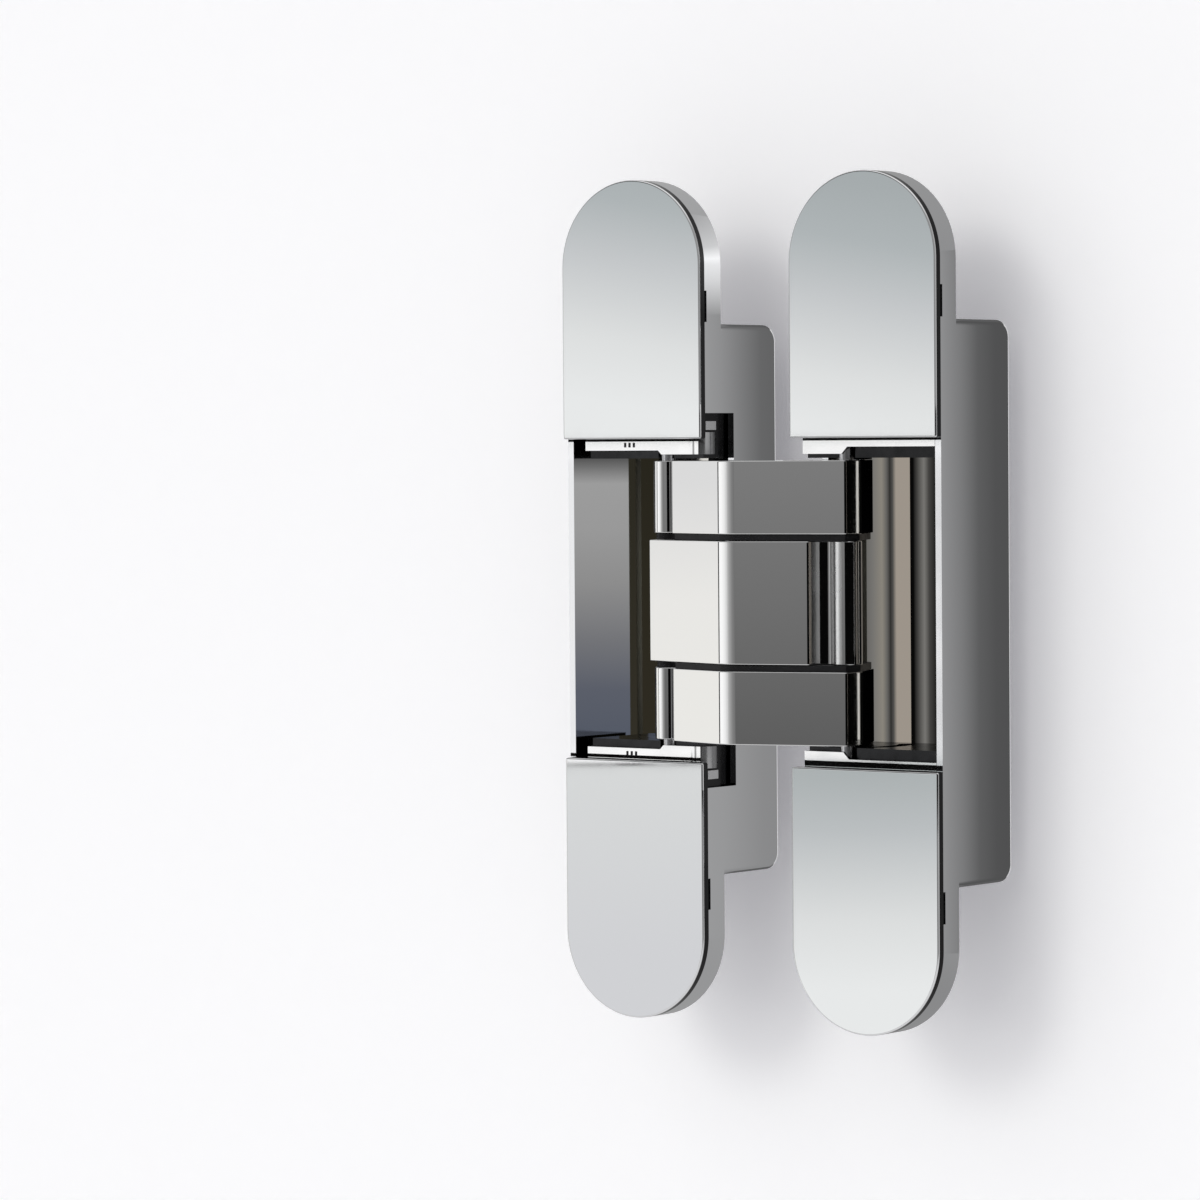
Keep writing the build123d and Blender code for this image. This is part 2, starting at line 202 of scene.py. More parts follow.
def with_rise(flat: Array, rise: Array) -> Array:
    """Gives a grid of flat vectors a third coordinate, one value for each row of the grid."""
    column = np.broadcast_to(np.asarray(rise)[:, None, None], flat.shape[:2] + (1,))
    return np.concatenate((flat, column), axis=2)


class Shell:
    """Collects points and faces of one mesh, with the normal at every face corner."""

    def __init__(self) -> None:
        """Starts with no points and no faces."""
        self.points: list[Array] = []
        self.faces: list[Array] = []
        self.normals: list[Array] = []
        self.paints: list[Array] = []
        self.count = 0

    def add_points(self, points: Array) -> Array:
        """Adds points and returns their numbers, in the shape of the grid they came in."""
        flat = points.reshape(-1, 3)
        numbers = np.arange(self.count, self.count + len(flat)).reshape(points.shape[:-1])
        self.points.append(flat)
        self.count += len(flat)
        return numbers

    def add_faces(self, faces: Array, normals: Array, paint: int) -> None:
        """Adds faces as rows of point numbers, with a normal for each corner and one material."""
        self.faces.append(faces)
        self.normals.append(np.broadcast_to(normals, faces.shape + (3,)))
        self.paints.append(np.full(len(faces), paint))

    @staticmethod
    def around(grid: Array) -> Array:
        """The four neighbours that bound each cell of a closed grid, in turn."""
        beside = np.roll(grid, -1, axis=1)
        return np.stack((grid[:-1], beside[:-1], beside[1:], grid[1:]), axis=2)

    def add_band(self, numbers: Array, normals: Array, paint: int, inward: bool = False) -> None:
        """Joins the rows of a closed grid by quads that look outwards, or inwards as in a bore."""
        quads = self.around(numbers).reshape(-1, 4)
        corners = self.around(normals).reshape(-1, 4, 3)
        if inward:
            quads, corners = quads[:, ::-1], -corners[:, ::-1]
        if len(quads):
            self.add_faces(quads, corners, paint)

    def add_prism(
        self,
        loop: Loop,
        span: Pair,
        rims: Pair,
        basis: Basis,
        bores: tuple[Loop, ...] = (),
        side_paint: int = 0,
    ) -> None:
        """Carries an outline straight along the rise, with rounded rims and bores right through.

        A rim row at tilt t is the outline moved in by the rim radius times (1 - cos t), at the end
        of the span less the radius times (1 - sin t); its normal is the outline's, tilted by t.

        Args:
            loop: outline across and along.
            span: lowest and highest rise.
            rims: rim radius at the lowest and at the highest end.
            basis: how the shape lies in the frame.
            bores: outlines of the holes.
            side_paint: number of the straight side's material; the rest has number 0.
        """
        turned = np.array(basis.value, float)
        low = np.linspace(-np.pi / 2, 0, RIM_STEPS + 1) if rims[0] else np.zeros(1)
        high = np.linspace(0, np.pi / 2, RIM_STEPS + 1) if rims[1] else np.zeros(1)
        tilt = np.concatenate((low, high))
        inset = np.concatenate((rims[0] * (1 - np.cos(low)), rims[1] * (1 - np.cos(high))))
        bottom, top = span[0] + rims[0] * (1 + np.sin(low)), span[1] - rims[1] * (1 - np.sin(high))
        flat = loop.points[None] - loop.normals[None] * inset[:, None, None]
        numbers = self.add_points(with_rise(flat, np.concatenate((bottom, top))) @ turned * MM)
        level = loop.normals[None] * np.cos(tilt)[:, None, None]
        normals = with_rise(level, np.sin(tilt)) @ turned
        start, stop = len(low) - 1, len(low) + 1
        self.add_band(numbers[: start + 1], normals[: start + 1], 0)
        self.add_band(numbers[start:stop], normals[start:stop], side_paint)
        self.add_band(numbers[stop - 1 :], normals[stop - 1 :], 0)
        holes = []
        for bore in bores:
            ends = with_rise(np.stack((bore.points, bore.points)), span)
            sides = with_rise(np.stack((bore.normals, bore.normals)), (0.0, 0.0))
            holes.append(self.add_points(ends @ turned * MM))
            self.add_band(holes[-1], sides @ turned, 0, inward=True)
        for row, sign in ((0, -1), (-1, 1)):
            rings = [flat[row]] + [bore.points for bore in bores]
            ring_numbers = np.concatenate([numbers[row]] + [hole[row] for hole in holes])
            self.add_cap(rings, ring_numbers, sign * turned[2], sign)

    def add_cap(self, rings: list[Array], numbers: Array, normal: Array, sign: int) -> None:
        """Fills a flat end, leaving its holes open.

        Args:
            rings: outer outline and then the holes, as flat points.
            numbers: point numbers of all rings in turn.
            normal: normal of the end.
            sign: 1 where the end looks along the rise, -1 where it looks against it.
        """
        flat = np.concatenate(rings)
        loops = [np.column_stack((ring, np.zeros(len(ring)))).tolist() for ring in rings]
        parts = np.array(tessellate_polygon(loops))
        a, b, c = (flat[parts[:, corner]] for corner in range(3))
        ahead, aside = b - a, c - a
        area = ahead[:, 0] * aside[:, 1] - ahead[:, 1] * aside[:, 0]
        filled = np.abs(area) > NO_AREA
        parts, wrong = parts[filled], area[filled] * sign < 0
        parts[wrong] = parts[wrong][:, ::-1]
        self.add_faces(numbers[parts], normal, 0)

    def build(self, name: str) -> Piece:
        """Writes the mesh in whole arrays and links its object."""
        points = np.concatenate(self.points)
        sizes = np.concatenate([np.full(len(faces), faces.shape[1]) for faces in self.faces])
        corners = np.concatenate([faces.ravel() for faces in self.faces])
        paints = np.concatenate(self.paints)
        mesh = bpy.data.meshes.new(name)
        mesh.vertices.add(len(points))
        mesh.vertices.foreach_set("co", points.ravel().astype(np.float32))
        mesh.loops.add(len(corners))
        mesh.loops.foreach_set("vertex_index", corners.astype(np.int32))
        mesh.polygons.add(len(sizes))
        mesh.polygons.foreach_set("loop_start", (np.cumsum(sizes) - sizes).astype(np.int32))
        mesh.polygons.foreach_set("material_index", paints.astype(np.int32))
        mesh.polygons.foreach_set("use_smooth", np.ones(len(sizes), bool))
        mesh.update(calc_edges=True)
        normals = np.concatenate([part.reshape(-1, 3) for part in self.normals])
        mesh.normals_split_custom_set(normals.tolist())
        return link(name, mesh)


class Tree:
    """Short hand for building a node tree."""

    def __init__(self, tree: bpy.types.NodeTree) -> None:
        """Keeps the tree that the nodes go into."""
        self.tree = tree

    def feed(self, node: bpy.types.Node, inputs: dict) -> None:
        """Sets a node's inputs, by name or number, to values, or links them to output sockets."""
        for name, value in inputs.items():
            if isinstance(value, Socket):
                self.tree.links.new(value, node.inputs[name])
            else:
                node.inputs[name].default_value = value

    def add(self, kind: str, inputs: dict | None = None, **settings: object) -> bpy.types.Node:
        """Adds a node of a kind, sets its properties, feeds its inputs and returns it."""
        node = self.tree.nodes.new(kind if kind.startswith("Node") else "ShaderNode" + kind)
        for name, value in settings.items():
            setattr(node, name, value)
        self.feed(node, inputs or {})
        return node

    def math(self, operation: str, *values: object) -> Socket:
        """Adds a sum of that kind and returns its value."""
        return self.add("Math", dict(enumerate(values)), operation=operation).outputs[0]

    def spread(self, value: Socket, old: Pair, new: tuple) -> Socket:
        """Maps a value from one range to another, clamped, and returns it."""
        names = ("From Min", "From Max", "To Min", "To Max")
        inputs = {"Value": value, **dict(zip(names, (*old, *new)))}
        return self.add("MapRange", inputs).outputs["Result"]

    def noise(self, place: Socket, scale: object, detail: float) -> Socket:
        """Adds a noise and returns its value."""
        inputs = {"Vector": place, "Scale": scale, "Detail": detail}
        return self.add("TexNoise", inputs).outputs["Fac"]

    def bump(self, height: Socket, strength: float, distance: float) -> Socket:
        """Adds a bump of a height and returns its normal."""
        inputs = {"Height": height, "Strength": strength, "Distance": distance}
        return self.add("Bump", inputs).outputs["Normal"]

    def mix(self, factor: Socket, first: object, second: object) -> Socket:
        """Blends two colours and returns the result."""
        inputs = {"Factor": factor, "A": first, "B": second}
        node = self.add("Mix", inputs, data_type="RGBA")
        return next(socket for socket in node.outputs if socket.type == "RGBA")

    def ramp(self, value: Socket, stops: list[tuple[float, Triple]]) -> Socket:
        """Adds a colour ramp of places from 0 to 1 and their colours, and returns its colour."""
        node = self.add("ValToRGB", {"Fac": value})
        band = node.color_ramp.elements
        for place, _ in stops[1:-1]:
            band.new(place)
        for element, (place, colour) in zip(band, stops):
            element.position = place
            element.color = (*colour, 1)
        return node.outputs["Color"]

    def front_only(self, surface: Socket) -> Socket:
        """Lets a surface show from its front only and returns the result."""
        back = self.add("NewGeometry").outputs["Backfacing"]
        clear = self.add("BsdfTransparent").outputs[0]
        return self.add("MixShader", {0: back, 1: surface, 2: clear}).outputs[0]


def new_group(name: str, inputs: dict[str, object], outputs: tuple[str, ...]) -> tuple:
    """Starts a shader node group that takes a place as its Vector.

    Args:
        name: its name.
        inputs: value of each other input, a number or a colour.
        outputs: names of the outputs; Color is a colour, the others are numbers.

    Returns:
        The tree, the output sockets of its input node, and its output node.
    """
    group = bpy.data.node_groups.new(name, "ShaderNodeTree")
    add_socket = group.interface.new_socket
    add_socket("Vector", in_out="INPUT", socket_type="NodeSocketVector")
    for label, value in inputs.items():
        kind = "NodeSocketColor" if isinstance(value, tuple) else "NodeSocketFloat"
        add_socket(label, in_out="INPUT", socket_type=kind).default_value = value
    for label in outputs:
        kind = "NodeSocketColor" if label == "Color" else "NodeSocketFloat"
        add_socket(label, in_out="OUTPUT", socket_type=kind)
    tree = Tree(group)
    return tree, tree.add("NodeGroupInput").outputs, tree.add("NodeGroupOutput")


def new_paint(name: str) -> tuple[Material, Tree, bpy.types.Node]:
    """Starts a material and returns it with its tree and its shader."""
    paint = bpy.data.materials.new(name)
    paint.use_nodes = True
    return paint, Tree(paint.node_tree), paint.node_tree.nodes["Principled BSDF"]


@dataclass
class Effects:
    """Node groups that more than one finish uses."""

    haze_range: Pair = (0.35, 0.7)
    grain_range: Pair = (0.3, 0.7)
    hair_scale: float = 2600.0
    hair_stretch: Triple = (1.0, 1.0, 0.06)
    cloud_scale: float = 70.0

    def __post_init__(self) -> None:
        """Builds the groups once."""
        self.polish = self.build_polish()
        self.cast = self.build_cast()

    def build_polish(self) -> bpy.types.NodeTree:
        """Polished metal: roughness from slow clouds, height from hairlines stretched along Z."""
        values = {"Smooth": 0.02, "Hazy": 0.06, "Scale": 90.0}
        tree, given, out = new_group("PolishHaze", values, ("Roughness", "Height"))
        place = given["Vector"]
        cloud = tree.noise(place, given["Scale"], 3.0)
        haze = tree.spread(cloud, self.haze_range, (given["Smooth"], given["Hazy"]))
        stretched = tree.add("Mapping", {"Vector": place, "Scale": self.hair_stretch})
        hair = tree.noise(stretched.outputs["Vector"], self.hair_scale, 2.0)
        tree.feed(out, {"Roughness": haze, "Height": hair})
        return tree.tree

    def build_cast(self) -> bpy.types.NodeTree:
        """Cast metal or plastic: height and roughness from fine grain, colour from slow clouds."""
        dark, light = (0.02, 0.02, 0.02, 1), (0.05, 0.05, 0.05, 1)
        values = {"Dark": dark, "Light": light, "Smooth": 0.25, "Rough": 0.45, "Scale": 500.0}
        tree, given, out = new_group("CastGrain", values, ("Color", "Roughness", "Height"))
        grain = tree.noise(given["Vector"], given["Scale"], 4.0)
        cloud = tree.noise(given["Vector"], self.cloud_scale, 2.0)
        share = tree.spread(cloud, self.grain_range, (0.0, 1.0))
        tint = tree.mix(share, given["Dark"], given["Light"])
        rough = tree.spread(grain, self.grain_range, (given["Smooth"], given["Rough"]))
        tree.feed(out, {"Color": tint, "Roughness": rough, "Height": grain})
        return tree.tree


@dataclass(frozen=True)
class Polished:
    """Bright metal with a polish haze: chrome plate, ground pins and screws."""

    name: str
    colour: Triple
    smooth: float
    hazy: float
    hairline: float = 0.02
    hair_depth: float = 0.00002

    def material(self, effects: Effects) -> Material:
        """Builds the finish from the polish group."""
        paint, tree, shader = new_paint(self.name)
        place = tree.add("TexCoord").outputs["Object"]
        values = {"Vector": place, "Smooth": self.smooth, "Hazy": self.hazy}
        polish = tree.add("Group", values, node_tree=effects.polish).outputs
        normal = tree.bump(polish["Height"], self.hairline, self.hair_depth)
        tree.feed(shader, {"Base Color": (*self.colour, 1), "Metallic": 1.0})
        tree.feed(shader, {"Roughness": polish["Roughness"], "Normal": normal})
        return paint


@dataclass(frozen=True)
class Cast:
    """Cast metal or moulded plastic with a grain, cloudy in colour."""

    name: str
    dark: Triple
    light: Triple
    smooth: float
    rough: float
    metallic: float = 0.0
    gloss: float = 0.5
    grain: float = 0.15
    grain_depth: float = 0.00005

    def material(self, effects: Effects) -> Material:
        """Builds the finish from the cast group."""
        paint, tree, shader = new_paint(self.name)
        place = tree.add("TexCoord").outputs["Object"]
        values = {"Vector": place, "Smooth": self.smooth, "Rough": self.rough}
        values |= {"Dark": (*self.dark, 1), "Light": (*self.light, 1)}
        cast = tree.add("Group", values, node_tree=effects.cast).outputs
        normal = tree.bump(cast["Height"], self.grain, self.grain_depth)
        tree.feed(shader, {"Metallic": self.metallic, "Specular IOR Level": self.gloss})
        tree.feed(shader, {"Base Color": cast["Color"], "Roughness": cast["Roughness"]})
        tree.feed(shader, {"Normal": normal})
        return paint


FINISHES = (
    Polished("cover_chrome", (0.86, 0.86, 0.87), 0.02, 0.04),
    # Cover sides: near-black, painted shade in place of the dark surroundings that their chrome
    # would mirror.
    Polished("cover_edge", (0.035, 0.035, 0.036), 0.1, 0.2),
    Polished("post_metal", (0.75, 0.75, 0.76), 0.28, 0.4, 0.08),
    # Key block: the post's end nearest the arms, painted darker as shade.
    Polished("key_metal", (0.36, 0.36, 0.365), 0.22, 0.32, 0.08),
    Polished("housing_chrome", (0.84, 0.845, 0.86), 0.03, 0.07),
    Polished("arm_chrome", (0.86, 0.86, 0.86), 0.02, 0.05),
    Polished("barrel_satin", (0.88, 0.88, 0.88), 0.2, 0.28, 0.04),
    Polished("strip_chrome", (0.88, 0.88, 0.88), 0.03, 0.06),
    Polished("pin_steel", (0.6, 0.6, 0.62), 0.12, 0.25, 0.08),
    Polished("screw_steel", (0.5, 0.5, 0.52), 0.15, 0.3, 0.08),
    Polished("pocket_chrome", (0.8, 0.8, 0.8), 0.04, 0.09),
    Polished("pocket_floor", (0.7, 0.68, 0.64), 0.05, 0.1),
    # Pocket corners: dull dark olive, painted shade.
    Cast("pocket_corner", (0.14, 0.133, 0.098), (0.18, 0.172, 0.132), 0.5, 0.6),
    # Carrier body: near-black, painted shade in place of the dark pocket that its chrome would
    # mirror.
    Cast("carrier_metal", (0.028, 0.028, 0.029), (0.046, 0.046, 0.048), 0.15, 0.3, metallic=1.0),
    # Black plastic of the plates, washers, spacers and marks; on the housings it also fills the pry
    # notches, painted black as shade.
    Cast("bearing_plastic", (0.01, 0.01, 0.011), (0.02, 0.02, 0.022), 0.3, 0.45, gloss=0.15),
    # Back of the outer arms' eyes: near-black, painted shade in place of the dark reflection of
    # their chrome.
    Cast("eye_liner", (0.003, 0.003, 0.003), (0.006, 0.006, 0.006), 0.5, 0.7, gloss=0.0),
)


def place_piece(piece: Piece, node: str, paints: Paints, names: tuple[str, ...]) -> None:
    """Dresses a piece with the named finishes and lets it stand for a node on the node's body."""
    for name in names:
        piece.data.materials.append(paints[name])
    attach(piece, body_of(node))
    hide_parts(node)
    LOG.info("%s rides on %s, %d faces", piece.name, body_of(node), len(piece.data.polygons))


def face_frame(piece: Piece) -> tuple[Array, Array]:
    """Centre of each face of a piece in millimetres, and its normal."""
    centres, normals = np.empty((2, len(piece.data.polygons) * 3))
    piece.data.polygons.foreach_get("center", centres)
    piece.data.polygons.foreach_get("normal", normals)
    return centres.reshape(-1, 3) / MM, normals.reshape(-1, 3)


def paint_faces(piece: Piece, numbers: Array) -> None:
    """Gives each face of a piece the number of its finish."""
    piece.data.polygons.foreach_set("material_index", numbers.astype(np.int32))


def upright(node: str, loop: Loop, span: Pair, rim: float, bores: tuple[Loop, ...]) -> Piece:
    """Builds a node's piece as a prism along Z, with the same rim at both ends."""
    shell = Shell()
    shell.add_prism(loop, span, (rim, rim), Basis.UPRIGHT, bores)
    return shell.build(node + "_body")


@dataclass
class Cover:
    """Snap cover: half a round-ended plate with a rounded front edge and two clip tongues."""

    side: Side
    end: End
    width: float = 30.0
    height: float = 146.0
    inner: float = 9.4
    start: float = 28.0
    thickness: float = 1.5
    rim: float = 0.3
    corner: float = 0.32
    arc_steps: int = 40
    clip_across: float = 18.0
    clip_height: float = 50.8
    clip_half: Pair = (0.7, 2.5)
    clip_reach: float = 3.6
    clip_corner: float = 0.3
    clip_rim: float = 0.25
    clip_steps: int = 4

    def outline(self) -> Loop:
        """Half a stadium, in the upper right corner of the hinge."""
        near, far, top = self.inner, self.inner + self.width, self.height / 2
        corners = np.array(((near, self.start), (far, self.start), (far, top), (near, top)))
        radii = np.repeat((self.corner, self.width / 2), 2)
        return Loop.rounded(corners, radii, self.arc_steps)

    def turned(self, loop: Loop) -> Loop:
        """Mirrors an upper right outline to this cover's side and end."""
        if self.side is Side.LEFT:
            loop = loop.mirrored(0)
        return loop.mirrored(1) if self.end is End.LOWER else loop

    def build(self, paints: Paints) -> None:
        """Builds the plate and its tongues and dresses them."""
        shell, back = Shell(), -self.thickness
        plate = self.turned(self.outline())
        # The straight side takes the second finish, painted near-black as shade.
        shell.add_prism(plate, (back, 0), (0, self.rim), Basis.FACING, side_paint=1)
        middle = self.inner + self.width / 2
        for across in (middle - self.clip_across / 2, middle + self.clip_across / 2):
            place = (across, self.clip_height)
            clip = self.turned(Loop.box(place, self.clip_half, self.clip_corner, self.clip_steps))
            span = (back - self.clip_reach, back)
            shell.add_prism(clip, span, (self.clip_rim, 0), Basis.FACING)
        piece = shell.build(f"cover_{self.side.word}_{self.end.word}")
        node = f"{self.side.word}_{self.end.word}_cover"
        place_piece(piece, node, paints, ("cover_chrome", "cover_edge"))


@dataclass
class Arm:
    """Roof-shaped arm with its pivot eye in one leaf and its slide barrel in the other.

    An outer arm has its eye in the right leaf, and a slot for the middle arm's slide pin. The
    middle arm is its mirror image without the slot.
    """

    node: str
    bottom: float
    top: float
    middle: bool = False
    rise: float = 6.1
    slope: float = math.tan(math.radians(17))
    long_reach: float = 20.8
    short_reach: float = 14.3
    pivot: Pair = (14.2, 13.2)
    centre: Pair = (0.0, -3.4)
    barrel: Pair = (-18.8, 3.4)
    flank: Pair = (21.25, 4.4)
    hook: Pair = (11.5, 7.4)
    under: Pair = (0.0, -0.8)
    web_lift: float = 1.0
    neck_drop: float = 6.2
    valley_drop: float = 2.6
    valley_step: float = 0.8
    ridge_radius: float = 6.5
    end_radius: float = 0.5
    flank_radius: float = 3.0
    eye_radius: float = 2.7
    hook_radius: float = 1.5
    web_radius: float = 4.0
    barrel_radius: float = 2.6
    dip_radius: float = 0.8
    arc_steps: int = 14
    pivot_bore: float = 1.74
    outer_centre_bore: float = 1.51
    middle_centre_bore: float = 1.54
    barrel_bore: float = 1.21
    slot_ends: tuple[Pair, Pair] = ((18.8, 3.4), (17.816, 5.67))
    slot_radius: float = 1.45
    slot_round: float = 0.999
    slot_steps: int = 12
    rim: float = 0.15
    satin_depth: float = 0.08
    satin_half: float = 0.1
    satin_turn: Pair = (0.3, 0.2)
    liner_turn: Pair = (0.3, 0.15)
    cap_turn: float = 0.99

    def outline(self) -> Loop:
        """Section of an outer arm.

        The roof falls from the ridge at 17 degrees to both sides. The long side runs round the nose
        and the flank to the pivot eye and back by the hook and the web; the short side runs by the
        neck round the slide barrel, and dips between the barrel and the roof's end.

        Returns:
            The outline across and in depth.
        """
        middle = (np.array(self.hook) + self.under) / 2
        roof_end = -self.rise + self.short_reach * self.slope
        neck = np.array((-self.short_reach, roof_end + self.neck_drop))
        valley = np.array((-self.short_reach - self.valley_step, roof_end + self.valley_drop))
        start = self.touch(self.flank, self.pivot, self.eye_radius)
        eye = arc_corners(self.pivot, self.eye_radius, start, math.pi, 3)
        spoke = valley - self.barrel
        spoke /= np.linalg.norm(spoke)
        reach = self.barrel_radius + self.dip_radius
        dip_centre = spoke * math.sqrt(reach**2 - self.dip_radius**2)
        dip_centre = dip_centre + self.dip_radius * np.array((spoke[1], -spoke[0]))
        leave = math.atan2(dip_centre[1], dip_centre[0])
        start = self.touch(neck, self.barrel, self.barrel_radius)
        barrel = arc_corners(self.barrel, self.barrel_radius, start, leave + 2 * math.pi, 3)
        away = np.array((math.cos(leave), math.sin(leave)))
        heading = np.array((-away[1], away[0]))
        turn = math.acos(float(heading @ spoke))
        dip = self.barrel + self.barrel_radius * away
        dip = dip + heading * self.dip_radius * math.tan(turn / 2)
        rows = (
            ((0, -self.rise), self.ridge_radius),
            ((self.long_reach, -self.rise + self.long_reach * self.slope), self.end_radius),
            (self.flank, self.flank_radius),
            (eye, self.eye_radius),
            (self.hook, self.hook_radius),
            (middle - (0, self.web_lift), self.web_radius),
            (self.under, self.web_radius),
            (neck, self.web_radius),
            (barrel, self.barrel_radius),
            (dip, self.dip_radius),
            (valley, self.dip_radius),
            ((-self.short_reach, roof_end), self.end_radius),
        )
        corners = [np.atleast_2d(points) for points, _ in rows]
        radii = [np.full(len(points), row[1]) for points, row in zip(corners, rows)]
        return Loop.rounded(np.vstack(corners), np.concatenate(radii), self.arc_steps)

    @staticmethod
    def touch(start: Array, centre: Pair, radius: float) -> float:
        """Angle where a point's tangent touches a circle: bearing plus acos(radius / distance)."""
        gap = np.asarray(start) - centre
        return math.atan2(gap[1], gap[0]) + math.acos(radius / float(np.hypot(*gap)))

    def slot(self) -> Loop:
        """Straight round-ended slot of an outer arm, for the middle arm's pin."""
        first, last = np.array(self.slot_ends)
        along = (last - first) / np.linalg.norm(last - first) * self.slot_radius
        aside = np.array((-along[1], along[0]))
        near, far = first - along, last + along
        corners = np.array((near + aside, near - aside, far - aside, far + aside))
        radii = np.full(4, self.slot_radius * self.slot_round)
        return Loop.rounded(corners, radii, self.slot_steps)

    def centre_hole(self) -> Loop:
        """Bore of the centre pin, which the middle arm turns on."""
        bore = self.middle_centre_bore if self.middle else self.outer_centre_bore
        return Loop.circle(self.centre, bore)

    def build(self, paints: Paints) -> None:
        """Carries the section along Z and dresses it."""
        pivot = Loop.circle(self.pivot, self.pivot_bore)
        barrel = Loop.circle(self.barrel, self.barrel_bore)
        loops = [self.outline(), pivot, self.centre_hole(), barrel]
        if self.middle:
            loops = [loop.mirrored(0) for loop in loops]
        else:
            loops.append(self.slot())
        outline, *bores = loops
        arm = upright(self.node, outline, (self.bottom, self.top), self.rim, tuple(bores))
        # Outer arms get painted shade on the back of the eye; the middle arm gets satin on its
        # barrel.
        names = ("arm_chrome", "eye_liner", "barrel_satin")
        place_piece(arm, self.node, paints, names)
        paint_faces(arm, self.satin(arm) * 2 if self.middle else self.lined(arm))

    def satin(self, arm: Piece) -> Array:
        """True for the faces on the left and front of the middle arm's barrel."""
        centres, normals = face_frame(arm)
        gap = np.hypot(centres[:, 0] + self.barrel[0], centres[:, 1] - self.barrel[1])
        found = np.abs(gap - self.barrel_radius + self.satin_depth) < self.satin_half
        found &= np.abs(normals[:, 2]) < self.cap_turn
        return found & (normals[:, :2] < self.satin_turn).all(axis=1)

    def lined(self, arm: Piece) -> Array:
        """True for the faces on the right and back of an outer arm's eye, which are painted
        near-black as shade.
        """
        centres, normals = face_frame(arm)
        return (centres[:, 0] > self.pivot[0]) & (normals[:, :2] > self.liner_turn).all(axis=1)


@dataclass
class SlidePlate:
    """Black sliding plate between two arms: an outer arm's section, moved in a little all round."""

    node: str
    bottom: float
    top: float
    inset: float = 0.4
    rim: float = 0.08

    def build(self, paints: Paints) -> None:
        """Carries the narrowed section along Z, with the centre bore and the slot."""
        arm = Arm(self.node, self.bottom, self.top)
        loop = arm.outline()
        narrowed = Loop(loop.points - loop.normals * self.inset, loop.normals)
        bores = (arm.centre_hole(), arm.slot())
        plate = upright(self.node, narrowed, (self.bottom, self.top), self.rim, bores)
        place_piece(plate, self.node, paints, ("bearing_plastic",))


@dataclass
class Round:
    """Pin or ring along Z: a circle carried straight, with rounded rims and a bore for a ring."""

    node: str
    slot: str
    rim: float
    bore: float = 0.0

    def build(self, paints: Paints) -> None:
        """Takes its place, radius and length from the node's box and builds the piece."""
        low, high = (np.array(corner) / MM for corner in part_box(self.node))
        centre = tuple((low + high)[:2] / 2)
        outside = Loop.circle(centre, (high[0] - low[0]) / 2)
        bores = (Loop.circle(centre, self.bore),) if self.bore else ()
        piece = upright(self.node, outside, (low[2], high[2]), self.rim, bores)
        place_piece(piece, self.node, paints, (self.slot,))


class Casting:
    """Piece that keeps a node's own form, with its facets merged and its edges shaded sharp."""

    def __init__(self, node: str) -> None:
        """Copies the node's mesh, merges it and joins its flat facets."""
        self.node = node
        mesh = bpy.data.meshes.new(node + "_body")
        work = bmesh.new()
        work.from_mesh(frame["nodes"][node].data)
        bmesh.ops.remove_doubles(work, verts=work.verts, dist=SAME_VERTEX)
        bmesh.ops.dissolve_limit(work, angle_limit=FLAT_TURN, verts=work.verts, edges=work.edges)
        work.to_mesh(mesh)
        work.free()
        mesh.polygons.foreach_set("use_smooth", np.ones(len(mesh.polygons), bool))
        mesh.normals_split_custom_set(self.corner_normals(mesh).tolist())
        self.piece = link(node + "_body", mesh)

    @staticmethod
    def corner_normals(mesh: bpy.types.Mesh) -> Array:
        """Even shading that keeps machined edges.

        The normal at a face corner is the sum of the normals of the faces that meet at its point,
        each times its area, without those that turn from the corner's own face by more than the
        crease.

        Args:
            mesh: the merged mesh.

        Returns:
            A unit normal for each face corner.
        """
        faces, count = len(mesh.polygons), len(mesh.loops)
        flat, area = np.empty(faces * 3), np.empty(faces)
        size, point = np.empty(faces, np.int32), np.empty(count, np.int32)
        mesh.polygons.foreach_get("normal", flat)
        mesh.polygons.foreach_get("area", area)
        mesh.polygons.foreach_get("loop_total", size)
        mesh.loops.foreach_get("vertex_index", point)
        owner = np.repeat(np.arange(faces), size)
        normal, weight = flat.reshape(-1, 3)[owner], area[owner]
        meeting = np.bincount(point)
        first = np.cumsum(meeting) - meeting
        partners = meeting[point]
        own = np.repeat(np.arange(count), partners)
        step = np.arange(len(own)) - np.repeat(np.cumsum(partners) - partners, partners)
        other = np.argsort(point, kind="stable")[first[point[own]] + step]
        near = (normal[own] * normal[other]).sum(1) > math.cos(CREASE)
        total = np.zeros((count, 3))
        np.add.at(total, own, normal[other] * (weight[other] * near)[:, None])
        return total / np.linalg.norm(total, axis=1, keepdims=True)

    def dress(self, paints: Paints, names: tuple[str, ...], numbers: Array) -> None:
        """Places the piece with its finishes and gives each face the number of its own."""
        place_piece(self.piece, self.node, paints, names)
        paint_faces(self.piece, numbers)


